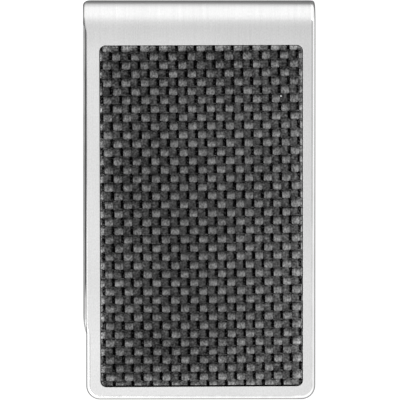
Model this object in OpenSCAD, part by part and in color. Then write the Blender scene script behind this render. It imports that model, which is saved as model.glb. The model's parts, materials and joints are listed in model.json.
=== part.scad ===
// Money clip: one steel strip folded into a spring, with a woven carbon inlay in its front leaf.
// It lies on its back. +Z is the front leaf's outward normal, +Y points to the fold and X is the width.
// The origin is at the centre of the bounding box's lower face.

/* [Steel strip] */
// Overall length, from the outside of the fold to the free end of the front leaf
clip_length = 52; // [46:1:70]
// Width of the strip at the fold and along the rear leaf
strip_width = 30.25; // [22:0.05:40]
// Thickness of the steel
sheet = 1; // [0.9:0.05:1.2]
// Outside radius of the fold
fold_radius = 2.8; // [2.4:0.1:4]

/* [Front leaf] */
// Radius of the two corners at the free end
plate_corner = 1.8; // [1:0.1:4]
// Width of the bevel round the front edge
edge_bevel = 0.25; // [0.1:0.01:0.3]
// How much narrower the front leaf is than the strip, on its left side
shoulder_step = 0.38; // [0.1:0.01:0.6]
// Length of the slanted shoulder beside the fold
shoulder_run = 1.6; // [0.6:0.1:2]

/* [Inlay] */
// Steel left between the inlay and the left edge
left_rim = 1.75; // [1.2:0.01:4]
// Steel left between the inlay and the right edge
right_rim = 1.63; // [1.2:0.01:4]
// Steel left between the inlay and the free end
end_rim = 1.64; // [1.2:0.01:4]
// Distance from the outside of the fold to the inlay
head_rim = 5.8; // [4.5:0.05:12]
// Radius of the pocket's corners
pocket_corner = 0.8; // [0.4:0.1:2]
// Depth of the pocket
pocket_depth = 0.5; // [0.4:0.05:0.6]
// Gap between the inlay and the pocket's wall
inlay_gap = 0.1; // [0.05:0.01:0.2]
// Thickness of the adhesive film
film = 0.08; // [0.05:0.01:0.12]
// How far the inlay's face lies below the steel
inlay_recess = 0.02; // [0:0.01:0.05]

/* [Rear leaf] */
// Distance from the outside of the fold to the tip of the rear leaf
arm_length = 48.5; // [40:0.1:60]
// Distance from the outside of the fold to the crest that grips the notes
grip_distance = 41.6; // [34:0.1:50]
// Clearance between the crest and the back of the front leaf
grip_gap = 0.12; // [0.05:0.01:0.3]
// Radius of the crest on the side that faces the front leaf
crest_radius = 3; // [2:0.1:5]
// Angle by which the lip flares away from the front leaf
lip_angle = 25; // [15:1:35]
// Radius of the corners at the tip, seen from the front
tip_corner = 8; // [2:0.1:10]

/* [Hidden] */
$fn = 96;

steel = [0.85, 0.85, 0.85];
fibre = [0.28, 0.28, 0.28];
bond = [0.80, 0.78, 0.70];

// Where the strip ends, across and along
half_width = strip_width / 2;
fold_end = clip_length / 2;
free_end = -clip_length / 2;

// The fold is half a ring about a line parallel to X. The rear leaf takes over partway round it.
fold_inner = fold_radius - sheet;
fold_y = fold_end - fold_radius;
fold_z = fold_radius;
arm_start = 60;

// The front leaf
plate_top = 2 * fold_radius;
plate_back = plate_top - sheet;
plate_left = -half_width + shoulder_step;
plate_width = half_width - plate_left;

// The pocket and what lies in it
pocket_width = plate_width - left_rim - right_rim;
pocket_x = plate_left + left_rim + pocket_width / 2;
pocket_length = clip_length - head_rim - end_rim;
pocket_y = free_end + end_rim + pocket_length / 2;
pocket_floor = plate_top - pocket_depth;
inlay_thickness = pocket_depth - film - inlay_recess;
inlay_corner = pocket_corner - inlay_gap;

// The rear leaf is a straight run that touches two circles: the inside of the fold, and the crest.
crest_y = fold_end - grip_distance;
crest_z = plate_back - grip_gap - crest_radius;
crest_inner = crest_radius - sheet;
crest_away = fold_y - crest_y;
crest_down = fold_z - crest_z;
arm_angle = asin((fold_inner + crest_radius) / norm([crest_away, crest_down]))
            - atan2(crest_down, crest_away);

// The lip runs straight from the crest past the tip, where the rounded end is cut.
arm_tip = fold_end - arm_length;
lip_run = (crest_y - crest_inner * sin(lip_angle) - arm_tip) / cos(lip_angle) + sheet;

// How far a cutter reaches past what it cuts
overrun = 1;

// Points along an arc in the plane of Y and Z. Angles count from +Y towards +Z.
arc_steps = 16;
function arc(y, z, radius, from, to) =
    [for (i = [0:arc_steps]) let (angle = from + (to - from) * i / arc_steps)
        [y + radius * cos(angle), z + radius * sin(angle)]];

// Part of a ring whose axis is parallel to X. Angles count from +Y towards +Z.
module ring_part(inner, outer, from, to, length) {
    rotate([0, 90, 0])
        rotate([0, 0, 90 + from])
            rotate_extrude(angle = to - from)
                translate([inner, -length / 2])
                    square([outer - inner, length]);
}

// A flat slab from a rounded rectangle, centred on Z and resting on z = 0
module rounded_slab(width, length, corner, height) {
    translate([-width / 2, -length / 2 + corner, 0])
        cube([width, length - 2 * corner, height]);
    translate([-width / 2 + corner, -length / 2, 0])
        cube([width - 2 * corner, length, height]);
    for (side = [-1, 1], end = [-1, 1])
        translate([side * (width / 2 - corner), end * (length / 2 - corner), 0])
            cylinder(r = corner, h = height);
}

// A blank that is square at its +Y end and rounded at the two corners of its -Y end
module strip_blank(left, right, end, start, corner, height) {
    translate([left, end + corner, 0])
        cube([right - left, start - end - corner, height]);
    translate([left + corner, end, 0])
        cube([right - left - 2 * corner, 2 * corner, height]);
    for (x = [left + corner, right - corner])
        translate([x, end + corner, 0])
            cylinder(r = corner, h = height);
}

// What a bevel takes off an upper edge, in section. The edge is the origin and metal lies towards -X.
module bevel_section() {
    polygon([[-edge_bevel, 0], [0, -edge_bevel], [overrun, -edge_bevel], [overrun, overrun],
             [-edge_bevel, overrun]]);
}

// A bevel along a straight edge that starts at the origin and runs along +Y, with metal towards -X
module bevel_run(length) {
    translate([0, length, 0])
        rotate([90, 0, 0])
            linear_extrude(height = length)
                bevel_section();
}

// A bevel round a corner that is centred on the origin and starts at an angle from +X
module bevel_corner(corner, from) {
    rotate([0, 0, from])
        rotate_extrude(angle = 90)
            translate([corner, 0])
                bevel_section();
}

// The rear leaf in section: the lower part of the fold, the straight run, the crest and the flared lip
module arm_section() {
    lip = [-cos(lip_angle), -sin(lip_angle)] * lip_run;
    back_of_crest = arc(crest_y, crest_z, crest_inner, 90 - arm_angle, 90 + lip_angle);
    front_of_crest = arc(crest_y, crest_z, crest_radius, 90 + lip_angle, 90 - arm_angle);
    polygon(concat(
        arc(fold_y, fold_z, fold_radius, -arm_start, -90 - arm_angle),
        back_of_crest,
        [back_of_crest[arc_steps] + lip, front_of_crest[0] + lip],
        front_of_crest,
        arc(fold_y, fold_z, fold_inner, -90 - arm_angle, -arm_start)
    ));
}

// The rear leaf, with its tip rounded in plan
module spring_arm() {
    color(steel)
        intersection() {
            rotate([90, 0, 90])
                linear_extrude(height = strip_width, center = true)
                    arm_section();
            translate([0, 0, -overrun])
                strip_blank(-half_width, half_width, arm_tip, fold_end + overrun, tip_corner,
                            plate_top + 2 * overrun);
        }
}

// The fold: the part of the ring between the rear leaf and the front leaf
module spring_bend() {
    color(steel)
        translate([0, fold_y, fold_z])
            ring_part(fold_inner, fold_radius, -arm_start, 90, strip_width);
}

// The front leaf, with a pocket for the inlay, a bevelled front edge and a shoulder beside the fold
module front_plate() {
    color(steel)
        difference() {
            translate([0, 0, plate_back]) {
                strip_blank(plate_left, half_width, free_end, fold_y, plate_corner, sheet);
                linear_extrude(height = sheet)
                    polygon([[plate_left, fold_y - shoulder_run], [-half_width, fold_y],
                             [plate_left + overrun, fold_y], [plate_left + overrun, fold_y - shoulder_run]]);
            }
            translate([pocket_x, pocket_y, pocket_floor])
                rounded_slab(pocket_width, pocket_length, pocket_corner, pocket_depth + overrun);
            translate([half_width, free_end + plate_corner, plate_top])
                bevel_run(fold_y - free_end - plate_corner + overrun);
            translate([plate_left, free_end + plate_corner, plate_top])
                mirror([1, 0, 0])
                    bevel_run(fold_y - shoulder_run - free_end - plate_corner);
            translate([plate_left + plate_corner, free_end, plate_top])
                rotate([0, 0, -90])
                    bevel_run(plate_width - 2 * plate_corner);
            translate([plate_left + plate_corner, free_end + plate_corner, plate_top])
                bevel_corner(plate_corner, 180);
            translate([half_width - plate_corner, free_end + plate_corner, plate_top])
                bevel_corner(plate_corner, 270);
        }
}

// One flat layer in the pocket, clear of its walls all round
module pocket_layer(thickness) {
    rounded_slab(pocket_width - 2 * inlay_gap, pocket_length - 2 * inlay_gap, inlay_corner, thickness);
}

// The film that bonds the inlay to the pocket's floor
module inlay_adhesive() {
    color(bond)
        translate([pocket_x, pocket_y, pocket_floor])
            pocket_layer(film);
}

// The woven carbon laminate
module carbon_inlay() {
    color(fibre)
        translate([pocket_x, pocket_y, pocket_floor + film])
            pocket_layer(inlay_thickness);
}

spring_arm();
spring_bend();
front_plate();
inlay_adhesive();
carbon_inlay();
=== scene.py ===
import json
import math

import bmesh
import bpy
from mathutils import Matrix, Vector, noise

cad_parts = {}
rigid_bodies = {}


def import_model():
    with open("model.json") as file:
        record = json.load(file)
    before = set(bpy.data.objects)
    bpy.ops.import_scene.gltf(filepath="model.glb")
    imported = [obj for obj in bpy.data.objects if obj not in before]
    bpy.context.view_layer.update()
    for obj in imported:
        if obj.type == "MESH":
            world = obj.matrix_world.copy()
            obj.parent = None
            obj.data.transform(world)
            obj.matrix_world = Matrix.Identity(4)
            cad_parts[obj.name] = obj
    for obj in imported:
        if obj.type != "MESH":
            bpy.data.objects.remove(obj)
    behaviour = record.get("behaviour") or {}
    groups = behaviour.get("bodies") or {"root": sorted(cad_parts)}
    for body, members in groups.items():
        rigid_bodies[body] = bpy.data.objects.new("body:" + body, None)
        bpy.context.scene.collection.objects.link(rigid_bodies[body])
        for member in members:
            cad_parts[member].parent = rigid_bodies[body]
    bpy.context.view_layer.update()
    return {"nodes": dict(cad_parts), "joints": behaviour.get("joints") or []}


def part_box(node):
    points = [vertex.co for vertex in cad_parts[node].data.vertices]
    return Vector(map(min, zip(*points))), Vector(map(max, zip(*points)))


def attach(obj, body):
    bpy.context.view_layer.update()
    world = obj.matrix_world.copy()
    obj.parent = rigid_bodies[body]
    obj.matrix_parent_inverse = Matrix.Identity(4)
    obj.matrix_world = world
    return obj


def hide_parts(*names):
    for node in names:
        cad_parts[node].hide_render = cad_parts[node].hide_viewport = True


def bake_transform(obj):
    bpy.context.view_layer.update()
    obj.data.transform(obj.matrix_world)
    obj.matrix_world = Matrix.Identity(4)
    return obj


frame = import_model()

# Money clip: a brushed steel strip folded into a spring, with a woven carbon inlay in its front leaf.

MM = 0.001

# ---------------------------------------------------------------- sizes from the frame
PLATE_LOW, PLATE_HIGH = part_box("front_plate")
BEND_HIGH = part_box("spring_bend")[1]
ARM_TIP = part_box("spring_arm")[0].y
INLAY_LOW, INLAY_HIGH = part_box("carbon_inlay")
POCKET_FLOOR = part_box("inlay_adhesive")[0].z
HINGE = frame["joints"][0]["pos_m"]
REAR_LEAF, FRONT_LEAF = frame["joints"][0]["parent"], frame["joints"][0]["child"]

HALF_WIDTH = BEND_HIGH.x
PLATE_TOP, PLATE_BACK = PLATE_HIGH.z, PLATE_LOW.z
SHEET = PLATE_TOP - PLATE_BACK
FREE_END, SEAM_Y = PLATE_LOW.y, PLATE_HIGH.y
FOLD_Y, FOLD_Z = HINGE[1], HINGE[2]
FOLD_OUTER = BEND_HIGH.y - FOLD_Y
FOLD_INNER = FOLD_OUTER - SHEET
FOLD_MIDDLE = FOLD_OUTER - SHEET / 2

# ---------------------------------------------------------------- the strip's details
PLATE_CORNER = 1.8 * MM
SHOULDER_STEP = 0.38 * MM
SHOULDER_RUN = 1.4 * MM
# The rounded outer edge: how far it reaches in from the side, and how deep
EDGE_WIDTH, EDGE_DEPTH = 0.34 * MM, 0.60 * MM
# A slight slope that leads from the face to the round
LEAD_WIDTH, LEAD_DEPTH = 0.18 * MM, 0.012 * MM
# The round on the inner edge, and how far a row of vertices lies beyond each round to hold its shading
INNER_ROUND = 0.14 * MM
SUPPORT = 0.03 * MM
ROUND_STEPS = 8
# Rows of the edge's profile down to where the inner round starts
OUTER_ROWS = ROUND_STEPS + 4
# The left edge is crisper: this much of the round is left beside the fold and below the shoulder. It grows
# back to the whole round between these places along Y.
CRISP_FOLD, CRISP_EDGE = 0.45, 0.25
CRISP_FROM, CRISP_TO = -16.2 * MM, -17.6 * MM
# The angle, counted from +Y towards +Z, at which the rear leaf takes over from the fold
ARM_START = -60
FOLD_STEPS = 60
# The fold's corners, ground round where they show past the front leaf
FOLD_CORNER_LEFT, FOLD_CORNER_RIGHT = 0.62 * MM, 0.15 * MM
# Edges sharper than this are shaded as edges.
SHARP_ANGLE = math.radians(32)
CREST_RADIUS = 3 * MM
LIP_ANGLE = 25
TIP_CORNER = 7.35 * MM

# ---------------------------------------------------------------- the steel's tones
# The three finishes, in the order of a piece's materials
OUTSIDE, EDGES, INSIDE = range(3)
# Tones of the polished edges by depth below the face, in millimetres: painted shade on the slope that leads
# to the round, and a painted highlight on the round itself. The right edge's change to the low ones between
# two places along Y.
END_TONES = [(-0.30, 0.85), (-0.02, 0.85), (-0.011, 0.62), (0.0, 0.62)]
RIGHT_TONES = [(-0.30, 0.71), (-0.09, 0.72), (-0.05, 1.0), (-0.014, 1.0), (-0.012, 0.55), (0.0, 0.54)]
RIGHT_LOW_TONES = [(-0.30, 0.70), (-0.20, 0.62), (-0.08, 0.62), (-0.05, 0.92), (-0.02, 0.92), (-0.011, 0.82),
                   (0.0, 0.73)]
RIGHT_LOW_Y = (9, -9)
# The left edges' tones along Y, in millimetres, hold painted shade. The front leaf's is darker towards the
# fold and darkest at the shoulder, and the rear leaf's is darker towards the free end.
FRONT_LEFT_TONES = [(-16, 0.92), (-9, 0.92), (-5, 0.88), (-1.3, 0.68), (2.6, 0.43), (6.5, 0.36),
                    (14.3, 0.345), (18.2, 0.40), (22.2, 0.46), (22.9, 0.16), (23.4, 0.22), (23.9, 0.52),
                    (25.5, 0.52)]
REAR_LEFT_TONES = [(-16, 0.50), (0, 0.51), (10, 0.63), (23, 0.72)]
# The places along Y between which they take over from the free end's tones
LEFT_Y = (-17.5, -16.3)
# The places along X between which a side's own tones take over
LEFT_X, RIGHT_X = (-10, -12), (12, 13)
# The front leaf's tones reach this far below its back.
FRONT_MARGIN = 0.3
# The slope that leads to the left round is darker: the depths between which that comes, and how much
LEFT_LEAD_DEPTHS, LEFT_LEAD_SHADE = (-0.014, -0.011), 0.3
# Tones of the satin steel along the strip, in millimetres from the fold's seam. They hold a painted highlight
# where the strip starts to bend, painted shade just below the seam, and slight painted light and shade down
# the front leaf.
SATIN_TONES = [(-47, 0.577), (-42, 0.590), (-22, 0.588), (-14, 0.575), (-2.6, 0.575), (-0.8, 0.538),
               (-0.45, 0.55), (0.1, 0.62), (0.9, 0.60), (2.0, 0.575)]
# The painted light that the left rim adds to them, and the places along X between which that comes
LEFT_RIM_TONES = [(-22, 0.0), (-14, 0.020), (-8, 0.050), (-5, 0.065), (-3.4, 0.045), (-2.4, 0.01),
                  (-1.2, 0.02), (0.0, 0.0)]
LEFT_RIM_X = (-12.4, -13.2)
# How strongly each layer of the satin steel's texture shows
STEEL_STREAK, STEEL_CLOUD, STEEL_GRIT = 0.26, 0.09, 0.17
# The fold is stretched, so its grain is fainter: the millimetres over which that comes, and what is left
FAINT_RUN, FAINT_GRAIN = 1.5, 0.6
# The faces between the leaves, in millimetres beyond the fold's end: how soon their painted shade gets dark
# inside, and the stretch over which the painted light on the rim fades, with the tones at its start and end
DARK_RUN, DARK_TONES = 9, (0.25, 0.08)
INNER_RIM_FROM, INNER_RIM_TO, INNER_RIM_TONES = 12, 20, (0.46, 0.29)
# The painted light on the rim starts and is full this far in from the side.
INNER_RIM_START, INNER_RIM_FULL = 0.30, 0.12
# Painted light on the inner face from this far before the crest on, where the leaves part, but not along its
# rim.
CREST_LIGHT_START, CREST_LIGHT_FULL, CREST_LIGHT_TONE = 4.5, 2.0, 0.5
CREST_LIGHT_INNER, CREST_LIGHT_OUTER = 0.22, 0.14

# ---------------------------------------------------------------- the pocket
INLAY_GAP = 0.1 * MM
POCKET_CORNER = 0.8 * MM
# How much nearer than the gap the walls stand to the inlay: left, right and at the free end
NEARER_LEFT, NEARER_RIGHT, NEARER_END = 0.03 * MM, 0.015 * MM, 0.018 * MM
POCKET_LEFT = INLAY_LOW.x - INLAY_GAP + NEARER_LEFT
POCKET_RIGHT = INLAY_HIGH.x + INLAY_GAP - NEARER_RIGHT
POCKET_END = INLAY_LOW.y - INLAY_GAP + NEARER_END
POCKET_HEAD = INLAY_HIGH.y + INLAY_GAP
# The pocket is cut slightly out of square: how far each corner lies off, to the right and towards the fold.
# The keys say on which side it is: left or right, and free end or fold.
CORNERS_OFF = {
    (-1, -1): Vector((0.074, -0.042)) * MM,
    (1, -1): Vector((0.025, 0.062)) * MM,
    (-1, 1): Vector((-0.057, -0.062)) * MM,
    (1, 1): Vector((-0.008, 0.019)) * MM,
}
RIM_ROUND = 0.04 * MM
RIM_STEPS = 4
# The cloth's edges, in from the pocket's walls: left, right, free end, fold
CLOTH_GAP_LEFT, CLOTH_GAP_RIGHT = 0.08 * MM, 0.03 * MM
CLOTH_GAP_END, CLOTH_GAP_HEAD = 0.23 * MM, 0.03 * MM
BED_GAP = 0.02 * MM
CORNER_STEPS = 12
# The cloth's corners are cut by planes that face these ways.
CORNER_CUTS = [math.radians(degrees) for degrees in (22.5, 45, 67.5)]

# ---------------------------------------------------------------- the weave
# Steps from one tow to the next: across the columns, and down the rows. The cloth lies slightly askew.
COLUMN_STEP = Vector((1.2155, 0.0159)) * MM
ROW_STEP = Vector((0.0117, -1.1335)) * MM
# The numbers of the upright tows and of the level ones, and the rows and columns that they run through
WARP_NUMBERS, WARP_ROWS = range(-12, 14), range(-24, 24)
WEFT_NUMBERS, WEFT_COLUMNS = range(-23, 23), range(-13, 14)
# A place where an upright tow crosses over
CROSSING = Vector((-0.554, -1.808)) * MM
# The cloth is laid a little out of true: how far its tows bow at the inlay's sides and at its ends
SIDE_BOW = Vector((-0.082, 0.059)) * MM
END_BOW = Vector((-0.088, 0.134)) * MM
END_DRIFT = Vector((0.0, -0.123)) * MM
# How far each tow wanders, and how much it swells and thins, as parts of the step
WANDER, SWELL = 0.05, 0.12
# How far the tows lie off the lattice, and half their widths, as parts of the step
WARP_SHIFT, WEFT_SHIFT = -0.16, -0.11
WARP_HALF, WEFT_HALF = 0.43, 0.52
# How far a tow waves up and down, how much its face bulges, and how thick it is
WAVE = 0.045 * MM
CROWN = 0.016 * MM
TOW_DEPTH = 0.06 * MM
# Samples of a tow for each step along it, and their places across it
STEPS_ALONG = 8
ACROSS = (-1.0, -0.5, 0.0, 0.60, 0.83, 1.0)
# How much of ACROSS would fill one cell of a tow's map
CELL_WIDTH = 2.1
# The pace at which a level tow rises on its left and dives on its right. Beyond a place across it, on its
# lower side, it dives more slowly.
RISE, DIVE, LOWER_DIVE, LOWER_SIDE = 0.82, 1.9, 0.8, 0.7

# ---------------------------------------------------------------- the cloth's tones
# Greys along a float, whose middle is at 0.5, and their change from one side of a tow to the other. They are
# painted light and shade: pale where a float faces the light, dark where it dives under its neighbour, and
# the upright tows paler than the level ones. Upright tows run up the cloth and level tows run to the right.
# Both sides are counted down or to the right.
WARP_ALONG = [(0.26, 0.014), (0.31, 0.024), (0.36, 0.043), (0.41, 0.074), (0.51, 0.114), (0.58, 0.127),
              (0.63, 0.127), (0.70, 0.084), (0.76, 0.032)]
WARP_ACROSS = [(0.03, 0.8), (0.12, 1.0), (0.85, 1.0), (0.97, 0.75)]
WEFT_ALONG = [(0.25, 0.030), (0.35, 0.036), (0.45, 0.044), (0.53, 0.042), (0.575, 0.029), (0.62, 0.010)]
WEFT_ACROSS = [(0.03, 0.66), (0.10, 0.70), (0.20, 0.82), (0.30, 0.96), (0.45, 1.0), (0.65, 0.92),
               (0.82, 0.70), (0.95, 0.52)]
# The least grey across a level tow: painted light keeps its lower side pale to its ends.
WEFT_LEAST = [(0.80, 0.0), (0.90, 0.025)]
# The eye's scale of tone is this power of the grey's.
EYE = 1 / 2.2
LEAST_TONE = 0.01
# How strongly each layer of the tows' texture shows, from their fibres to the cloth's broad clouds
FIBRE, FIBRE_GRIT, FIBRE_MOTTLE, FIBRE_PATCH, CLOTH_CLOUD = 0.12, 0.44, 0.28, 0.13, 0.10
# The texture's weight: the shares of the way out to the inlay's edges between which it grows, and its range
ROUGH_OUT, ROUGH_RANGE = (0.35, 0.9), (0.78, 1.06)
# What is added from the middle to the right, and from a place along Y to the fold
PALER_RIGHT, DARKER_HEAD, DARKER_FROM = (-0.024, 0.018), (0.008, -0.024), 8 * MM
# Where the inlay is paler, in from its sides, its free end and the fold: where that starts, where it is full,
# and how much is added
PALE_SIDE = (0.95 * MM, 0.45 * MM, 0.085)
PALE_END = (1.35 * MM, 0.85 * MM, 0.075)
PALE_HEAD = (0.66 * MM, 0.42 * MM, 0.088)
# The cut edge's pale line: how far in its middle lies, its width to each side, where it has faded, its tone
LINE_IN, LINE_HALF, LINE_FADED, LINE_TONE = 0.13 * MM, 0.04 * MM, 0.08 * MM, 0.14
# Broken fibres: how far in they are full, how strong they are, and what is left of that on the right
BROKEN_IN, BROKEN_TONE, BROKEN_RIGHT = 0.15 * MM, 0.12, 0.4
# The right edge is darker, from just inside the outline to just outside it.
SHADOW_IN, SHADOW_OUT, SHADOW_TONE = 0.06 * MM, 0.01 * MM, -0.15
# The resin's tones between the tows. What falls below the least is black.
BED_TONES = (-0.16, 0.17)
# Specks of dust and small nicks in the cloth: place, size and tone on the eye's scale
SPECKS = [
    ((10.62, 13.55), 0.11, 0.85),
    ((7.63, -9.49), 0.10, 0.60),
    ((-10.60, 0.53), 0.14, 0.02),
    ((-12.84, -17.83), 0.11, 0.85),
    ((9.55, -23.20), 0.08, 0.75),
    ((9.80, -23.34), 0.08, 0.65),
    ((10.05, -23.50), 0.08, 0.60),
]

# ---------------------------------------------------------------- the studio
# The camera: its distance, the width it sees at the face, its turn and tilt, and what it looks at
CAMERA_DISTANCE, SEEN_WIDTH = 0.70, 52.075 * MM
CAMERA_TURN, CAMERA_TILT = math.radians(1.24), math.radians(2.1)
TARGET = Vector((0.075 * MM, 0.025 * MM, PLATE_TOP))
LAMP_SIZE = 0.12
# The table: half its side, how far it lies below the clip, its own grey and its glow
TABLE_HALF, TABLE_DROP = 1.5, 0.02 * MM
TABLE_GREY, TABLE_GLOW = 0.15, 0.9
SKY = 1.66
# How far the clip's painted shade reaches over the table beyond the fold and on its other sides, and the
# shades outwards
FOLD_SHADE, SIDE_SHADE = 16 * MM, 26 * MM
TABLE_SHADES = [(0.0, 0.075), (0.3, 0.195), (0.6, 0.44), (1.0, 0.78)]
# Beyond the fold the table's painted shade is deeper on the right: where out from the fold, between which
# places along X it comes, and by how much
RIGHT_SHADE_REACH = [(4.5 * MM, 0.0), (7.5 * MM, 1.0), (14 * MM, 1.0), (20 * MM, 0.0)]
RIGHT_SHADE_X, RIGHT_SHADE_DEPTH = (-6 * MM, 15 * MM), 0.42
# Overhead the sky is dimmer. The dim part is wide across the clip and narrow along it.
DIM_X = 0.12
DIM_NARROWING = 0.5
SKY_SHADES = [(0.0, 0.42), (0.10, 0.55), (0.17, 0.72), (0.32, 0.86), (0.48, 0.94), (0.65, 1.0)]
# The lamps stand beyond the fold, so the sky is less bright on its sides and on the near side.
SIDE_SHADES = [(-1.0, 0.62), (-0.75, 0.66), (-0.3, 1.0), (0.3, 1.0), (0.75, 0.66), (1.0, 0.62)]
NEAR_SHADES = [(-1.0, 0.62), (-0.75, 0.66), (-0.25, 1.0)]


def colour(grey):
    return (grey, grey, grey, 1)


# ---------------------------------------------------------------- node helpers
class Nodes:
    """A short way to build a node tree: each call adds a node and links what it is given."""

    def __init__(self, tree):
        self.tree = tree
        tree.nodes.clear()

    def add(self, kind, inputs=(), **settings):
        node = self.tree.nodes.new(kind)
        for key, value in settings.items():
            setattr(node, key, value)
        for key, value in dict(inputs).items():
            if isinstance(value, bpy.types.NodeSocket):
                self.tree.links.new(value, node.inputs[key])
            else:
                node.inputs[key].default_value = value
        return node

    def math(self, operation, a, b=0.0):
        return self.add("ShaderNodeMath", {0: a, 1: b}, operation=operation).outputs[0]

    def scaled(self, vector, scale, shift=(0, 0, 0)):
        node = self.add("ShaderNodeMapping", {"Vector": vector, "Scale": scale, "Location": shift})
        return node.outputs[0]

    def noise(self, vector, scale, detail, roughness=0.5, shift=(0, 0, 0)):
        """Noise, which is finer along an axis the higher its scale is"""
        node = self.add("ShaderNodeTexNoise", {"Vector": self.scaled(vector, scale, shift), "Scale": 1.0,
                                               "Detail": detail, "Roughness": roughness})
        return node.outputs["Fac"]

    def place(self):
        """The place on the object, in metres"""
        return self.add("ShaderNodeTexCoord").outputs["Object"]

    def split(self, vector):
        """A vector's three parts"""
        return self.add("ShaderNodeSeparateXYZ", {0: vector}).outputs

    def bump(self, height, strength, distance):
        node = self.add("ShaderNodeBump", {"Height": height, "Strength": strength, "Distance": distance})
        return node.outputs[0]

    def total(self, parts):
        """The sum of textures centred on a half, each with its weight"""
        result = -0.5 * sum(weight for _, weight in parts)
        for value, weight in parts:
            node = self.add("ShaderNodeMath", {0: value, 1: weight, 2: result}, operation="MULTIPLY_ADD")
            result = node.outputs[0]
        return result

    def spread(self, value, low, high, to_low, to_high):
        node = self.add("ShaderNodeMapRange", {"Value": value, "From Min": low, "From Max": high,
                                               "To Min": to_low, "To Max": to_high})
        return node.outputs[0]

    def ramp(self, value, stops):
        node = self.add("ShaderNodeValToRGB", {"Fac": value})
        elements = node.color_ramp.elements
        while len(elements) < len(stops):
            elements.new(0.5)
        for element, (position, grey) in zip(elements, stops):
            element.position = position
            element.color = colour(grey)
        return node.outputs["Color"]

    def course(self, value, points):
        """A value that runs straight from point to point of (place, level). Levels stay within 0 to 1."""
        low, high = points[0][0], points[-1][0]
        stops = [((place - low) / (high - low), level) for place, level in points]
        return self.ramp(self.spread(value, low, high, 0.0, 1.0), stops)

    def mix(self, a, b, factor, blend="MIX"):
        node = self.add("ShaderNodeMix", {0: factor, 6: a, 7: b}, data_type="RGBA", blend_type=blend)
        return node.outputs[2]

    def grey(self, value):
        node = self.add("ShaderNodeCombineColor", {0: value, 1: value, 2: value})
        return node.outputs[0]

    def surface(self, shader):
        self.add("ShaderNodeOutputMaterial", {"Surface": shader})


def new_material(name):
    material = bpy.data.materials.new(name)
    material.use_nodes = True
    return material, Nodes(material.node_tree)


# ---------------------------------------------------------------- materials
def brushed_steel():
    """Satin steel, brushed along the strip. The map named grain holds millimetres across and along."""
    material, n = new_material("brushed_steel")
    grain = n.add("ShaderNodeUVMap", uv_map="grain").outputs[0]
    fine = n.noise(grain, (14, 0.35, 1), 3.0, 0.6)
    broad = n.noise(grain, (2.2, 0.10, 1), 2.0, shift=(7, 3, 0))
    cloud = n.noise(grain, (0.16, 0.10, 1), 1.0, shift=(2, 9, 0))
    streak = n.math("ADD", n.math("MULTIPLY", fine, 0.6), n.math("MULTIPLY", broad, 0.4))
    grit = n.noise(grain, (7, 4, 1), 1.0, shift=(4, 6, 0))
    across, along, _ = n.split(grain)
    faint = n.spread(along, 0.0, FAINT_RUN, 1.0, FAINT_GRAIN)
    layers = n.total([(streak, STEEL_STREAK), (cloud, STEEL_CLOUD), (grit, STEEL_GRIT)])
    texture = n.math("MULTIPLY", layers, faint)
    # Painted light brightens the left rim.
    rim = n.math("MULTIPLY", n.course(along, LEFT_RIM_TONES), n.spread(across, *LEFT_RIM_X, 0.0, 1.0))
    # The tones along the strip carry its painted highlight and painted shade.
    tone = n.math("ADD", n.math("ADD", n.course(along, SATIN_TONES), rim), texture)
    bump = n.bump(n.math("MULTIPLY", streak, faint), 0.3, 0.006 * MM)
    tangent = n.add("ShaderNodeTangent", direction_type="UV_MAP", uv_map="grain")
    shader = n.add("ShaderNodeBsdfPrincipled", {
        "Base Color": n.grey(tone), "Metallic": 1.0, "Roughness": n.spread(streak, 0.3, 0.7, 0.36, 0.26),
        "Anisotropic": 0.6, "Normal": bump, "Tangent": tangent.outputs[0]})
    n.surface(shader.outputs[0])
    return material


def polished_edge():
    """The strip's rounded, polished edges, with painted highlights and painted shade in their tones"""
    material, n = new_material("polished_edge")
    place = n.place()
    scuff = n.noise(place, (1500, 400, 1500), 2.0)
    x, y, z = n.split(n.scaled(place, (1 / MM, 1 / MM, 1 / MM)))
    in_front = n.math("GREATER_THAN", z, PLATE_BACK / MM - FRONT_MARGIN)
    left_tone = n.mix(n.course(y, REAR_LEFT_TONES), n.course(y, FRONT_LEFT_TONES), in_front)
    depth = n.math("SUBTRACT", z, PLATE_TOP / MM)
    # Painted shade on the slope that leads to the left round
    left_tone = n.mix(left_tone, colour(0), n.spread(depth, *LEFT_LEAD_DEPTHS, 0.0, LEFT_LEAD_SHADE))
    at_left = n.math("MULTIPLY", n.spread(x, *LEFT_X, 0.0, 1.0), n.spread(y, *LEFT_Y, 0.0, 1.0))
    tone = n.mix(n.course(depth, END_TONES), left_tone, at_left)
    low = n.spread(y, *RIGHT_LOW_Y, 0.0, 1.0)
    right_tone = n.mix(n.course(depth, RIGHT_TONES), n.course(depth, RIGHT_LOW_TONES), low)
    tone = n.mix(tone, right_tone, n.spread(x, *RIGHT_X, 0.0, 1.0))
    tone = n.math("MULTIPLY", tone, n.spread(scuff, 0.3, 0.7, 0.97, 1.03))
    bump = n.bump(scuff, 0.15, 0.005 * MM)
    shader = n.add("ShaderNodeBsdfPrincipled", {
        "Base Color": n.grey(tone), "Metallic": 1.0,
        "Roughness": n.spread(scuff, 0.3, 0.7, 0.12, 0.20), "Normal": bump})
    n.surface(shader.outputs[0])
    return material


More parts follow.
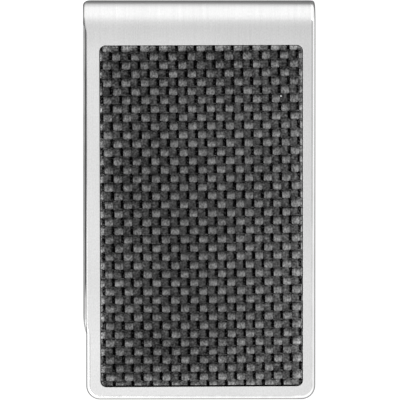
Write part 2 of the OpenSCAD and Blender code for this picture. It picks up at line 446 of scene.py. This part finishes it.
def inner_steel():
    """The faces between the leaves: mill finished, with painted shade inside and painted light at the rims
    and past the crest
    """
    material, n = new_material("inner_steel")
    place = n.place()
    rolled = n.noise(place, (2500, 350, 2500), 3.0, 0.6)
    cloud = n.noise(place, (220, 160, 220), 2.0, shift=(5, 2, 0))
    across, along, _ = n.split(n.add("ShaderNodeUVMap", uv_map="grain").outputs[0])
    half = HALF_WIDTH / MM
    side = n.math("ABSOLUTE", across)
    fold_end = fold_length() / MM
    dark = n.spread(along, fold_end, fold_end + DARK_RUN, *DARK_TONES)
    rim = n.spread(along, fold_end + INNER_RIM_FROM, fold_end + INNER_RIM_TO, *INNER_RIM_TONES)
    edge = n.spread(side, half - INNER_RIM_START, half - INNER_RIM_FULL, dark, rim)
    crest = (fold_length() + TO_CREST) / MM
    # Painted light on the inner face past the crest, where the leaves part
    crest_light = n.spread(n.math("ADD", along, cloud), crest - CREST_LIGHT_START, crest - CREST_LIGHT_FULL, 0.0, CREST_LIGHT_TONE)
    crest_light = n.math("MULTIPLY", crest_light, n.spread(side, half - CREST_LIGHT_INNER, half - CREST_LIGHT_OUTER, 1.0, 0.0))
    tone = n.math("MAXIMUM", edge, crest_light)
    tone = n.math("MULTIPLY", tone, n.spread(rolled, 0.3, 0.7, 0.88, 1.12))
    bump = n.bump(rolled, 0.3, 0.01 * MM)
    shader = n.add("ShaderNodeBsdfPrincipled", {
        "Base Color": n.grey(tone), "Metallic": 1.0, "Roughness": n.spread(cloud, 0.3, 0.7, 0.38, 0.48),
        "Normal": bump})
    n.surface(shader.outputs[0])
    return material


def squared(n, place):
    """A place in the cloth, moved to where it would lie if the pocket were a true rectangle"""
    parts = n.split(place)
    right = n.spread(parts[0], POCKET_LEFT, POCKET_RIGHT, 0.0, 1.0)
    up = n.spread(parts[1], POCKET_END, POCKET_HEAD, 0.0, 1.0)
    moved = []
    for axis in range(2):
        off = {key: value[axis] for key, value in CORNERS_OFF.items()}
        low = n.spread(right, 0.0, 1.0, off[-1, -1], off[1, -1])
        high = n.spread(right, 0.0, 1.0, off[-1, 1], off[1, 1])
        moved.append(n.math("SUBTRACT", parts[axis], n.spread(up, 0.0, 1.0, low, high)))
    return n.add("ShaderNodeCombineXYZ", {0: moved[0], 1: moved[1]}).outputs[0]


def cut_edge(n, place):
    """What the inlay's cut edge adds to its tone: a pale line, broken fibres and a darker right side"""
    corner = POCKET_CORNER - INLAY_GAP
    middle = (INLAY_LOW + INLAY_HIGH) / 2
    half = (INLAY_HIGH - INLAY_LOW) / 2
    spot = n.split(squared(n, place))
    beyond = []
    for axis in range(2):
        out = n.math("ABSOLUTE", n.math("SUBTRACT", spot[axis], middle[axis]))
        out = n.math("SUBTRACT", out, half[axis] - corner)
        beyond.append(n.math("POWER", n.math("MAXIMUM", out, 0.0), 2))
    inside = n.math("SUBTRACT", corner, n.math("SQRT", n.math("ADD", *beyond)))
    off = n.math("ABSOLUTE", n.math("SUBTRACT", inside, LINE_IN))
    rough = n.noise(place, (3500, 3500, 3500), 1.0)
    line = n.spread(off, LINE_HALF, LINE_FADED, 1.0, 0.0)
    line = n.math("MULTIPLY", line, n.spread(rough, 0.35, 0.65, 0.0, LINE_TONE))
    speckle = n.noise(place, (6000, 6000, 6000), 0.0)
    broken = n.math("MULTIPLY", n.spread(speckle, 0.3, 0.7, -BROKEN_TONE, BROKEN_TONE),
                    n.spread(inside, BROKEN_IN, corner, 1.0, 0.0))
    broken = n.math("MULTIPLY", broken, n.spread(spot[0], INLAY_LOW.x, INLAY_HIGH.x, 1.0, BROKEN_RIGHT))
    shadow = n.spread(spot[0], INLAY_HIGH.x - SHADOW_IN, INLAY_HIGH.x + SHADOW_OUT, 0.0, SHADOW_TONE)
    return n.math("ADD", n.math("ADD", line, broken), shadow)


def rougher_outwards(n, spot):
    """A weight for the cloth's texture, which is calm in the middle and coarser towards the inlay's sides"""
    ways_out = []
    for axis in range(2):
        middle = (INLAY_LOW[axis] + INLAY_HIGH[axis]) / 2
        off = n.math("ABSOLUTE", n.math("SUBTRACT", spot[axis], middle))
        ways_out.append(n.math("DIVIDE", off, INLAY_HIGH[axis] - middle))
    return n.spread(n.math("MAXIMUM", *ways_out), *ROUGH_OUT, *ROUGH_RANGE)


def paler_sides(n, spot):
    """How much paler the inlay is beside its left and right sides"""
    middle = (INLAY_LOW.x + INLAY_HIGH.x) / 2
    half = INLAY_HIGH.x - middle
    off = n.math("ABSOLUTE", n.math("SUBTRACT", spot[0], middle))
    start, full, added = PALE_SIDE
    return n.spread(off, half - start, half - full, 0.0, added)


def paler_ends(n, spot):
    """How much paler its cloth is beside the free end and the fold"""
    start, full, added = PALE_END
    at_end = n.spread(spot[1], INLAY_LOW.y + start, INLAY_LOW.y + full, 0.0, added)
    start, full, added = PALE_HEAD
    at_head = n.spread(spot[1], INLAY_HIGH.y - start, INLAY_HIGH.y - full, 0.0, added)
    return n.math("MAXIMUM", at_end, at_head)


def with_specks(n, tone, place):
    """Lays the specks over a tone."""
    flat = n.scaled(place, (1, 1, 0))
    for (x, y), size, speck_tone in SPECKS:
        node = n.add("ShaderNodeVectorMath", {0: flat, 1: (x * MM, y * MM, 0)}, operation="DISTANCE")
        near = n.spread(node.outputs["Value"], size * MM / 2, size * MM, 1.0, 0.0)
        tone = n.mix(tone, colour(speck_tone), near)
    return tone


def tow(name, along_stops, across_stops, least_stops=None):
    """Carbon fibre tow. The map named tow runs along it, with each float's middle at a half, and across."""
    material, n = new_material(name)
    strand = n.add("ShaderNodeUVMap", uv_map="tow").outputs[0]
    lengthways, sideways, _ = n.split(strand)
    # The greys along and across the tow are painted light and shade.
    along = n.ramp(n.math("FRACT", lengthways), along_stops)
    side = n.math("FRACT", sideways)
    shade = n.mix(along, n.ramp(side, across_stops), 1.0, "MULTIPLY")
    if least_stops:
        shade = n.mix(shade, n.ramp(side, least_stops), 1.0, "LIGHTEN")
    fibres = n.noise(strand, (1.6, 16, 1), 3.0, 0.6)
    grit = n.noise(strand, (9, 5, 1), 1.0, shift=(3, 1, 0))
    mottle = n.noise(strand, (3.6, 2.0, 1), 1.0, shift=(6, 2, 0))
    patch = n.noise(strand, (0.9, 0.45, 1), 1.0, shift=(9, 5, 0))
    texture = n.total([(fibres, FIBRE), (grit, FIBRE_GRIT), (mottle, FIBRE_MOTTLE), (patch, FIBRE_PATCH)])
    place = n.place()
    spot = n.split(place)
    texture = n.math("MULTIPLY", texture, rougher_outwards(n, spot))
    cloud = n.noise(place, (110, 110, 110), 1.0)
    texture = n.math("ADD", texture, n.total([(cloud, CLOTH_CLOUD)]))
    # The cloth is a little paler on its right and darker towards the fold.
    broad = n.math("ADD", n.spread(spot[0], 0.0, POCKET_RIGHT, *PALER_RIGHT),
                   n.spread(spot[1], DARKER_FROM, POCKET_HEAD, *DARKER_HEAD))
    true_spot = n.split(squared(n, place))
    broad = n.math("ADD", broad, n.math("MAXIMUM", paler_sides(n, true_spot), paler_ends(n, true_spot)))
    tone = n.math("ADD", n.math("POWER", shade, EYE), n.math("ADD", texture, broad))
    tone = n.math("MAXIMUM", n.math("ADD", tone, cut_edge(n, place)), LEAST_TONE)
    tone = with_specks(n, n.grey(tone), place)
    bump = n.bump(fibres, 0.4, 0.01 * MM)
    shader = n.add("ShaderNodeBsdfPrincipled", {
        "Base Color": n.grey(n.math("POWER", tone, 1 / EYE)),
        "Roughness": n.spread(mottle, 0.3, 0.7, 0.42, 0.58),
        "Specular IOR Level": 0.1, "Normal": bump})
    n.surface(shader.outputs[0])
    return material


def resin_bed():
    """The dark resin that shows between the tows"""
    material, n = new_material("resin_bed")
    place = n.place()
    speckle = n.noise(place, (4000, 4000, 4000), 2.0)
    spot = n.split(squared(n, place))
    tone = n.math("ADD", n.spread(speckle, 0.35, 0.65, *BED_TONES), paler_sides(n, spot))
    tone = n.math("MAXIMUM", tone, LEAST_TONE)
    shader = n.add("ShaderNodeBsdfPrincipled", {
        "Base Color": n.grey(n.math("POWER", tone, 1 / EYE)), "Roughness": 0.9,
        "Specular IOR Level": 0.02})
    n.surface(shader.outputs[0])
    return material


def bond_film():
    """The clouded film under the inlay"""
    material, n = new_material("bond_film")
    place = n.place()
    cloud = n.noise(place, (900, 900, 900), 2.0)
    shader = n.add("ShaderNodeBsdfPrincipled", {
        "Base Color": n.ramp(cloud, [(0.3, 0.42), (0.7, 0.55)]), "Roughness": 0.7})
    n.surface(shader.outputs[0])
    return material


def floor_white():
    """A pale table that glows evenly for the camera. The steel sees a glow with painted shade: dark near the
    clip, pale further off.
    """
    material, n = new_material("floor_white")
    x, y, _ = n.split(n.place())
    out_x = n.math("SUBTRACT", n.math("ABSOLUTE", x), HALF_WIDTH)
    beyond_side = n.spread(out_x, 0.0, SIDE_SHADE, 0.0, 1.0)
    beyond_fold = n.spread(y, BEND_HIGH.y, BEND_HIGH.y + FOLD_SHADE, 0.0, 1.0)
    beyond_end = n.spread(y, FREE_END, FREE_END - SIDE_SHADE, 0.0, 1.0)
    shade = n.math("MAXIMUM", beyond_side, n.math("MAXIMUM", beyond_fold, beyond_end))
    at_right = n.math("POWER", n.spread(x, *RIGHT_SHADE_X, 0.0, 1.0), 2)
    out_y = n.math("SUBTRACT", y, BEND_HIGH.y)
    # Painted shade: the table is darker on its right beyond the fold.
    right_shade = n.math("MULTIPLY", at_right, n.course(out_y, RIGHT_SHADE_REACH))
    tone = n.mix(n.ramp(shade, TABLE_SHADES), colour(0), n.math("MULTIPLY", right_shade, RIGHT_SHADE_DEPTH))
    table = n.add("ShaderNodeEmission", {"Color": tone, "Strength": SKY})
    pale = n.add("ShaderNodeBsdfDiffuse", {"Color": colour(TABLE_GREY)})
    glow = n.add("ShaderNodeEmission", {"Color": colour(1), "Strength": TABLE_GLOW})
    lit = n.add("ShaderNodeAddShader", {0: pale.outputs[0], 1: glow.outputs[0]})
    seen = n.add("ShaderNodeLightPath").outputs["Is Camera Ray"]
    both = n.add("ShaderNodeMixShader", {0: seen, 1: table.outputs[0], 2: lit.outputs[0]})
    n.surface(both.outputs[0])
    return material


# ---------------------------------------------------------------- mesh helpers
def new_piece(name, bm, materials, maps):
    """Makes an object from a bmesh. maps holds, for a UV map's name, each vertex's place in it."""
    bmesh.ops.recalc_face_normals(bm, faces=bm.faces)
    for title, places in maps.items():
        layer = bm.loops.layers.uv.new(title)
        for face in bm.faces:
            for loop in face.loops:
                loop[layer].uv = places[loop.vert]
    mesh = bpy.data.meshes.new(name)
    bm.to_mesh(mesh)
    bm.free()
    mesh.polygons.foreach_set("use_smooth", [True] * len(mesh.polygons))
    mesh.set_sharp_from_angle(angle=SHARP_ANGLE)
    for material in materials:
        mesh.materials.append(material)
    piece = bpy.data.objects.new(name, mesh)
    bpy.context.scene.collection.objects.link(piece)
    return piece


def bridge(bm, rows, finish=0):
    """Quads between each row of vertices and the next"""
    for row, other in zip(rows, rows[1:]):
        for a, b, c, d in zip(row, row[1:], other[1:], other):
            bm.faces.new((a, b, c, d)).material_index = finish


def bridge_edge(bm, rows):
    """The strip's edge, polished on its outer side and plain from where its inner round starts"""
    bridge(bm, rows[:OUTER_ROWS], EDGES)
    bridge(bm, rows[OUTER_ROWS - 1:], INSIDE)


def edge_profile():
    """(inset, depth) down the strip's edge, from its outer face to its inner face.

    The first and last rows lie on the faces, so that the round doesn't bend the faces' shading.
    """
    turn = [math.radians(90 * i / ROUND_STEPS) for i in range(ROUND_STEPS + 1)]
    outer = [(EDGE_WIDTH * (1 - math.sin(a)), LEAD_DEPTH + EDGE_DEPTH * (1 - math.cos(a))) for a in turn]
    inner = [(INNER_ROUND * (1 - math.cos(a)), SHEET - INNER_ROUND * (1 - math.sin(a))) for a in turn[::2]]
    lead = EDGE_WIDTH + LEAD_WIDTH
    return [(lead + SUPPORT, 0), (lead, 0)] + outer + inner + [(INNER_ROUND + SUPPORT, SHEET)]


class Strip:
    """Collects the vertices of one stretch of the strip, with their place in the grain."""

    def __init__(self, place):
        self.bm = bmesh.new()
        self.grain = {}
        self.place = place

    def vertex(self, x, s, depth):
        made = self.bm.verts.new(self.place(x, s, depth))
        self.grain[made] = (x / MM, s / MM)
        return made

    def face(self, vertices):
        self.bm.faces.new(vertices)

    def rungs(self, row, finish):
        """Fills a face between the two sides of a row that runs down one side and up the other."""
        for k in range(len(row) // 2 - 1):
            rung = self.bm.faces.new((row[k], row[k + 1], row[-2 - k], row[-1 - k]))
            rung.material_index = finish

    def cap(self, rows):
        """Closes the strip where it meets the next stretch."""
        self.face([row[0] for row in rows] + [row[-1] for row in reversed(rows)])


def spread_out(start, end, count):
    """Evenly spaced values from start up to, but without, end"""
    return [start + (end - start) * i / count for i in range(count)]


# ---------------------------------------------------------------- front leaf
def smooth(t):
    """A soft step, from 0 where t is 0 to 1 where t is 1"""
    t = min(1, max(0, t))
    return t * t * (3 - 2 * t)


def plate_left(y):
    """The front leaf's left edge, which steps in beside the fold"""
    return -HALF_WIDTH + SHOULDER_STEP * smooth((SEAM_Y - y) / SHOULDER_RUN)


def left_edge(y):
    """How much of the rounded edge the left side has at y"""
    crisp = CRISP_FOLD + (CRISP_EDGE - CRISP_FOLD) * smooth((SEAM_Y - y) / SHOULDER_RUN)
    return crisp + (1 - crisp) * smooth((CRISP_FROM - y) / (CRISP_FROM - CRISP_TO))


def plate_outline(inset):
    """The front leaf's outline, drawn in by inset: down the left side, round the free end and up the right"""
    stations = spread_out(SEAM_Y, SEAM_Y - SHOULDER_RUN, 12)
    stations += spread_out(SEAM_Y - SHOULDER_RUN, CRISP_FROM, 12)
    stations += spread_out(CRISP_FROM, CRISP_TO, 8) + spread_out(CRISP_TO, FREE_END + PLATE_CORNER, 4)
    left = [(plate_left(y) + inset * left_edge(y), y) for y in stations]
    right = [(HALF_WIDTH - inset, y) for y in stations]
    radius = PLATE_CORNER - inset
    centre_y = FREE_END + PLATE_CORNER
    for i in range(CORNER_STEPS + 1):
        a = math.radians(90 * i / CORNER_STEPS)
        y = centre_y - radius * math.sin(a)
        left.append((plate_left(FREE_END) + PLATE_CORNER - radius * math.cos(a), y))
        right.append((HALF_WIDTH - PLATE_CORNER + radius * math.cos(a), y))
    return left + right[::-1]


def out_of_square(x, y):
    """Moves a place in a true rectangle to where it lies in the pocket."""
    place = Vector((x, y))
    for (side, end), off in CORNERS_OFF.items():
        across = (x - POCKET_LEFT) / (POCKET_RIGHT - POCKET_LEFT)
        up = (y - POCKET_END) / (POCKET_HEAD - POCKET_END)
        place += off * (across if side > 0 else 1 - across) * (up if end > 0 else 1 - up)
    return place


def pocket_outline(grow):
    """The pocket's outline, grown outwards"""
    radius = POCKET_CORNER + grow
    left, right = POCKET_LEFT + POCKET_CORNER, POCKET_RIGHT - POCKET_CORNER
    low, high = POCKET_END + POCKET_CORNER, POCKET_HEAD - POCKET_CORNER
    centres = [(right, high), (left, high), (left, low), (right, low)]
    points = []
    for quarter, (x, y) in enumerate(centres):
        for i in range(CORNER_STEPS + 1):
            a = math.radians(90 * quarter + 90 * i / CORNER_STEPS)
            points.append(out_of_square(x + radius * math.cos(a), y + radius * math.sin(a)).to_tuple())
    return points


def front_plate(steel):
    strip = Strip(lambda x, s, depth: (x, s + SEAM_Y, PLATE_TOP - depth))
    rows = [[strip.vertex(x, y - SEAM_Y, depth) for x, y in plate_outline(inset)]
            for inset, depth in edge_profile()]
    bridge_edge(strip.bm, rows)
    strip.rungs(rows[-1], INSIDE)
    strip.cap(rows)
    # The pocket: a rounded rim, a wall and a floor
    floor_depth = PLATE_TOP - POCKET_FLOOR
    turn = [math.radians(90 * i / RIM_STEPS) for i in range(RIM_STEPS + 1)]
    rim = [(RIM_ROUND * (1 - math.sin(a)), RIM_ROUND * (1 - math.cos(a))) for a in turn] + [(0, floor_depth)]
    rim.insert(0, (RIM_ROUND + SUPPORT, 0))
    loops = [[strip.vertex(x, y - SEAM_Y, depth) for x, y in pocket_outline(grow)] for grow, depth in rim]
    for loop in loops:
        loop.append(loop[0])
    bridge(strip.bm, loops)
    strip.face(loops[-1][:-1])
    # The flat face between the outer edge and the pocket
    border = rows[0] + [rows[0][0]]
    edges = [strip.bm.edges.get((a, b)) or strip.bm.edges.new((a, b)) for a, b in zip(border, border[1:])]
    edges += [strip.bm.edges.get((a, b)) for a, b in zip(loops[0], loops[0][1:])]
    bmesh.ops.triangle_fill(strip.bm, use_beauty=True, use_dissolve=False, edges=edges)
    piece = new_piece("front_leaf_steel", strip.bm, steel, {"grain": strip.grain})
    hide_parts("front_plate")
    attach(piece, FRONT_LEAF)


# ---------------------------------------------------------------- fold
def fold_inset(y, corner):
    """How far the fold's ground corner cuts in at y"""
    over = max(0, y - (BEND_HIGH.y - corner))
    return corner - math.sqrt(max(0, corner ** 2 - over ** 2))


def fold_point(x, s, depth):
    """A place on the fold. s runs from its seam with the front leaf to its seam with the rear leaf."""
    a = math.pi / 2 - s / FOLD_MIDDLE
    radius = FOLD_OUTER - depth
    y = FOLD_Y + radius * math.cos(a)
    if x < 0:
        x += fold_inset(y, FOLD_CORNER_LEFT)
    else:
        x -= fold_inset(y, FOLD_CORNER_RIGHT)
    return (x, y, FOLD_Z + radius * math.sin(a))


def fold_length():
    return FOLD_MIDDLE * math.radians(90 - ARM_START)


def spring_fold(steel):
    strip = Strip(fold_point)
    profile = edge_profile()
    rows = []
    for s in spread_out(0, fold_length(), FOLD_STEPS) + [fold_length()]:
        crisp = CRISP_FOLD + (1 - CRISP_FOLD) * smooth(s / fold_length())
        row = [strip.vertex(-HALF_WIDTH + inset * crisp, s, depth) for inset, depth in profile]
        row += [strip.vertex(HALF_WIDTH - inset, s, depth) for inset, depth in reversed(profile)]
        rows.append(row)
    columns = list(zip(*rows))
    count = len(profile)
    bridge_edge(strip.bm, columns[:count])
    bridge_edge(strip.bm, columns[count:][::-1])
    bridge(strip.bm, columns[count - 1:count + 1], INSIDE)
    bridge(strip.bm, (columns[-1], columns[0]), OUTSIDE)
    strip.face(rows[0])
    strip.face(rows[-1])
    piece = new_piece("fold_steel", strip.bm, steel, {"grain": strip.grain})
    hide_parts("spring_bend")
    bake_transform(piece)


# ---------------------------------------------------------------- rear leaf
def crest_centre():
    top = max((v.co for v in frame["nodes"]["spring_arm"].data.vertices), key=lambda co: co.z)
    return Vector((top.y, top.z - CREST_RADIUS))


CREST = crest_centre()
AWAY, DOWN = FOLD_Y - CREST.x, FOLD_Z - CREST.y
ARM_SLOPE = math.asin((FOLD_INNER + CREST_RADIUS) / math.hypot(AWAY, DOWN)) - math.atan2(DOWN, AWAY)
LIP_SLOPE = math.radians(LIP_ANGLE)
ARM_RUN = math.sqrt(AWAY ** 2 + DOWN ** 2 - (FOLD_INNER + CREST_RADIUS) ** 2)
FOLD_TURN = math.radians(90 + ARM_START) + ARM_SLOPE
CREST_TURN = ARM_SLOPE + LIP_SLOPE
# Lengths along the middle of the sheet, to the end of each stretch
TO_STRAIGHT = FOLD_MIDDLE * FOLD_TURN
TO_CREST = TO_STRAIGHT + ARM_RUN
TO_LIP = TO_CREST + (CREST_RADIUS - SHEET / 2) * CREST_TURN
LIP_RUN = (CREST.x - CREST_RADIUS * math.sin(LIP_SLOPE) - ARM_TIP) / math.cos(LIP_SLOPE)
TO_TIP = TO_LIP + LIP_RUN


def arm_point(x, s, depth):
    """A place on the rear leaf. s runs from the fold to the tip, and depth from its back to its front."""
    if s < TO_STRAIGHT:
        a = math.radians(ARM_START) - s / FOLD_MIDDLE
        radius = FOLD_OUTER - depth
        return (x, FOLD_Y + radius * math.cos(a), FOLD_Z + radius * math.sin(a))
    if s < TO_CREST:
        run, radius = s - TO_STRAIGHT, FOLD_OUTER - depth
        y = FOLD_Y - radius * math.sin(ARM_SLOPE) - run * math.cos(ARM_SLOPE)
        return (x, y, FOLD_Z - radius * math.cos(ARM_SLOPE) + run * math.sin(ARM_SLOPE))
    turn = min(CREST_TURN, (s - TO_CREST) / (CREST_RADIUS - SHEET / 2))
    a = math.pi / 2 - ARM_SLOPE + turn
    radius = CREST_RADIUS - SHEET + depth
    run = max(0, s - TO_LIP)
    y = CREST.x + radius * math.cos(a) - run * math.cos(LIP_SLOPE)
    return (x, y, CREST.y + radius * math.sin(a) - run * math.sin(LIP_SLOPE))


def along_arm(y):
    """How far along the rear leaf the middle of the sheet comes to y"""
    low, high = 0, TO_TIP + SHEET
    for _ in range(40):
        middle = (low + high) / 2
        if arm_point(0, middle, SHEET / 2)[1] > y:
            low = middle
        else:
            high = middle
    return low


def arm_outline(inset):
    """The rear leaf's outline, drawn in by inset: down the left side, round the tip and up the right"""
    centre_y = arm_point(0, TO_TIP, SHEET / 2)[1] + TIP_CORNER
    stations = spread_out(0, TO_STRAIGHT, 16) + spread_out(TO_STRAIGHT, along_arm(centre_y), 14)
    left = [(-HALF_WIDTH + inset, s) for s in stations]
    radius = TIP_CORNER - inset
    steps = 4 * CORNER_STEPS
    for i in range(steps + 1):
        a = math.radians(90 * i / steps)
        x = -HALF_WIDTH + TIP_CORNER - radius * math.cos(a)
        left.append((x, along_arm(centre_y - radius * math.sin(a))))
    return left + [(-x, s) for x, s in reversed(left)]


def rear_leaf(steel):
    strip = Strip(arm_point)
    rows = [[strip.vertex(x, s, depth) for x, s in arm_outline(inset)] for inset, depth in edge_profile()]
    bridge_edge(strip.bm, rows)
    strip.rungs(rows[0], OUTSIDE)
    strip.rungs(rows[-1], INSIDE)
    strip.cap(rows)
    grain = {v: (x, s + fold_length() / MM) for v, (x, s) in strip.grain.items()}
    piece = new_piece("rear_leaf_steel", strip.bm, steel, {"grain": grain})
    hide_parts("spring_arm")
    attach(piece, REAR_LEAF)


# ---------------------------------------------------------------- carbon inlay
# The height about which the tows wave, where the bed ends too
TOW_TOP = INLAY_HIGH.z - WAVE


def lattice(u, v):
    """The place of column u and row v in the cloth"""
    place = CROSSING + COLUMN_STEP * u + ROW_STEP * v
    side = (2 * place.x - POCKET_LEFT - POCKET_RIGHT) / (POCKET_RIGHT - POCKET_LEFT)
    end = (2 * place.y - POCKET_END - POCKET_HEAD) / (POCKET_HEAD - POCKET_END)
    return place + SIDE_BOW * side ** 2 + END_BOW * end ** 2 + END_DRIFT * end ** 3


def uneven(tow_number, along):
    """How far a tow wanders off its line at a place along it, and by how much its width changes"""
    wander = noise.noise((7.3 * tow_number, 0.37 * along, 0.5))
    swell = noise.noise((5.9 * tow_number, 0.53 * along, 8.5))
    return WANDER * wander, 1 + SWELL * swell


def weft_wave(s, across):
    """A weft tow's height, from -1 to 1. It dives soon on its right, but later on its lower side."""
    s = (s + 1) % 2 - 1
    if s < 0:
        return math.cos(math.pi * s * RISE)
    dive = DIVE if across < LOWER_SIDE else LOWER_DIVE
    return math.cos(math.pi * min(1, s * dive))


def warp_wave(s):
    """A warp tow's height, from -1 to 1"""
    return math.cos(math.pi * s)


def ribbon(bm, maps, samples, point):
    """A closed ribbon: a crowned upper face, two sides and a base"""
    top, base = [], []
    for along in samples:
        row = []
        for across in ACROSS:
            where, height, place = point(along, across)
            vertex = bm.verts.new((where.x, where.y, TOW_TOP + height))
            maps[vertex] = place
            row.append(vertex)
        top.append(row)
        under = []
        for vertex in (row[0], row[-1]):
            low = bm.verts.new((vertex.co.x, vertex.co.y, vertex.co.z - TOW_DEPTH))
            maps[low] = maps[vertex]
            under.append(low)
        base.append(under)
    loops = [[under[0]] + row + [under[1], under[0]] for row, under in zip(top, base)]
    bridge(bm, loops)
    bm.faces.new(loops[0][:-1])
    bm.faces.new(loops[-1][:-1])


def trim(bm):
    """Cuts the tows off just inside the pocket, with its rounded corners, and closes the cuts."""
    corner = POCKET_CORNER - INLAY_GAP
    sides_x = {-1: POCKET_LEFT + CLOTH_GAP_LEFT + corner, 1: POCKET_RIGHT - CLOTH_GAP_RIGHT - corner}
    sides_y = {-1: POCKET_END + CLOTH_GAP_END + corner, 1: POCKET_HEAD - CLOTH_GAP_HEAD - corner}
    centres = {(i, j): out_of_square(x, y).to_3d() for i, x in sides_x.items() for j, y in sides_y.items()}
    for (sign_x, sign_y), centre in centres.items():
        along = centres[sign_x, 1] - centres[sign_x, -1]
        across = centres[1, sign_y] - centres[-1, sign_y]
        normals = [Vector((sign_x * math.cos(a), sign_y * math.sin(a), 0)) for a in CORNER_CUTS]
        normals.append(Vector((sign_x * along.y, -sign_x * along.x, 0)).normalized())
        normals.append(Vector((-sign_y * across.y, sign_y * across.x, 0)).normalized())
        for normal in normals:
            geometry = bm.verts[:] + bm.edges[:] + bm.faces[:]
            cut = bmesh.ops.bisect_plane(bm, geom=geometry, plane_co=centre + normal * corner,
                                         plane_no=normal, clear_outer=True, dist=1e-8)
            edges = [g for g in cut["geom_cut"] if isinstance(g, bmesh.types.BMEdge)]
            bmesh.ops.holes_fill(bm, edges=edges, sides=0)


def tows(name, material, numbers, crossed, point_at):
    """One direction's tows. crossed holds the rows or columns that they run through."""
    bm = bmesh.new()
    layer = bm.loops.layers.uv.new("tow")
    maps = {}
    samples = [crossed[0] + k / STEPS_ALONG for k in range(len(crossed) * STEPS_ALONG)]
    for number in numbers:
        ribbon(bm, maps, samples, point_at(number))
    for face in bm.faces:
        for loop in face.loops:
            loop[layer].uv = maps[loop.vert]
    trim(bm)
    piece = new_piece(name, bm, [material], {})
    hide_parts("carbon_inlay")
    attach(piece, FRONT_LEAF)


def warp_tows(material):
    def point_at(i):
        def point(v, across):
            wander, swell = uneven(i + 100, v)
            u = i + WARP_SHIFT + wander + across * WARP_HALF * swell
            height = WAVE * warp_wave(v - WEFT_SHIFT - i) - CROWN * across ** 2
            return lattice(u, v), height, ((v - WEFT_SHIFT - i) / 2 + 0.5, i + 0.5 + across / CELL_WIDTH)
        return point

    tows("warp_tows", material, WARP_NUMBERS, WARP_ROWS, point_at)


def weft_tows(material):
    def point_at(j):
        def point(u, across):
            wander, swell = uneven(j, u)
            v = j + WEFT_SHIFT + wander + across * WEFT_HALF * swell
            height = WAVE * weft_wave(u - WARP_SHIFT - j + 1, across) - CROWN * across ** 2
            return lattice(u, v), height, ((u - WARP_SHIFT - j) / 2, j + 0.5 + across / CELL_WIDTH)
        return point

    tows("weft_tows", material, WEFT_NUMBERS, WEFT_COLUMNS, point_at)


def laminate_bed(material):
    bm = bmesh.new()
    rows = []
    for z in (INLAY_LOW.z, TOW_TOP):
        rows.append([bm.verts.new((x, y, z)) for x, y in pocket_outline(-BED_GAP)])
        rows[-1].append(rows[-1][0])
    bridge(bm, rows)
    for row in rows:
        bm.faces.new(row[:-1])
    piece = new_piece("laminate_bed", bm, [material], {})
    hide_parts("carbon_inlay")
    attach(piece, FRONT_LEAF)


# ---------------------------------------------------------------- stage
def make_floor():
    mesh = bpy.data.meshes.new("floor")
    half = TABLE_HALF
    corners = [(-half, -half, 0), (half, -half, 0), (half, half, 0), (-half, half, 0)]
    mesh.from_pydata(corners, [], [(0, 1, 2, 3)])
    mesh.materials.append(floor_white())
    floor = bpy.data.objects.new("floor", mesh)
    floor.location.z = -TABLE_DROP
    bpy.context.scene.collection.objects.link(floor)


def make_world():
    world = bpy.data.worlds.new("studio")
    world.use_nodes = True
    bpy.context.scene.world = world
    n = Nodes(world.node_tree)
    x, y, _ = n.split(n.add("ShaderNodeTexCoord").outputs["Generated"])
    across = n.math("MULTIPLY", n.math("SUBTRACT", x, DIM_X), DIM_NARROWING)
    off = n.math("SQRT", n.math("ADD", n.math("POWER", across, 2), n.math("POWER", y, 2)))
    lit = n.mix(n.course(x, SIDE_SHADES), n.course(y, NEAR_SHADES), 1.0, "DARKEN")
    shade = n.mix(n.ramp(off, SKY_SHADES), lit, 1.0, "MULTIPLY")
    sky = n.add("ShaderNodeBackground", {"Color": shade, "Strength": SKY})
    backdrop = n.add("ShaderNodeBackground", {"Color": colour(1), "Strength": 1.0})
    seen = n.add("ShaderNodeLightPath").outputs["Is Camera Ray"]
    both = n.add("ShaderNodeMixShader", {0: seen, 1: sky.outputs[0], 2: backdrop.outputs[0]})
    n.add("ShaderNodeOutputWorld", {"Surface": both.outputs[0]})


def make_light(name, place, power):
    data = bpy.data.lights.new(name, "AREA")
    data.shape = "RECTANGLE"
    data.size, data.size_y = LAMP_SIZE, LAMP_SIZE
    data.energy = power
    light = bpy.data.objects.new(name, data)
    light.location = place
    aim = Vector((0, 0, PLATE_TOP)) - Vector(place)
    light.rotation_mode = "QUATERNION"
    light.rotation_quaternion = aim.to_track_quat("-Z", "Y")
    light.visible_camera = False
    bpy.context.scene.collection.objects.link(light)


def make_camera():
    data = bpy.data.cameras.new("camera")
    camera = bpy.data.objects.new("camera", data)
    level = math.cos(CAMERA_TILT)
    back = Vector((-math.sin(CAMERA_TURN) * level, math.sin(CAMERA_TILT), math.cos(CAMERA_TURN) * level))
    right = Vector((0, 1, 0)).cross(back).normalized()
    up = back.cross(right)
    turned = Matrix((right, up, back)).transposed().to_4x4()
    camera.matrix_world = Matrix.Translation(TARGET + back * CAMERA_DISTANCE) @ turned
    data.sensor_width = 36
    data.lens = data.sensor_width * CAMERA_DISTANCE / SEEN_WIDTH
    data.clip_start, data.clip_end = 0.01, 20
    bpy.context.scene.collection.objects.link(camera)
    bpy.context.scene.camera = camera


make_camera()
make_world()
make_floor()
make_light("soft_low", (-0.10, -0.13, 0.30), 0.20)
make_light("soft_left", (-0.16, 0.0, 0.28), 0.08)

STEEL = [brushed_steel(), polished_edge(), inner_steel()]
front_plate(STEEL)
spring_fold(STEEL)
rear_leaf(STEEL)
laminate_bed(resin_bed())
warp_tows(tow("warp_fibre", WARP_ALONG, WARP_ACROSS))
weft_tows(tow("weft_fibre", WEFT_ALONG, WEFT_ACROSS, WEFT_LEAST))
frame["nodes"]["inlay_adhesive"].data.materials.clear()
frame["nodes"]["inlay_adhesive"].data.materials.append(bond_film())

bpy.context.scene.view_settings.view_transform = "Standard"
bpy.context.scene.view_settings.look = "None"
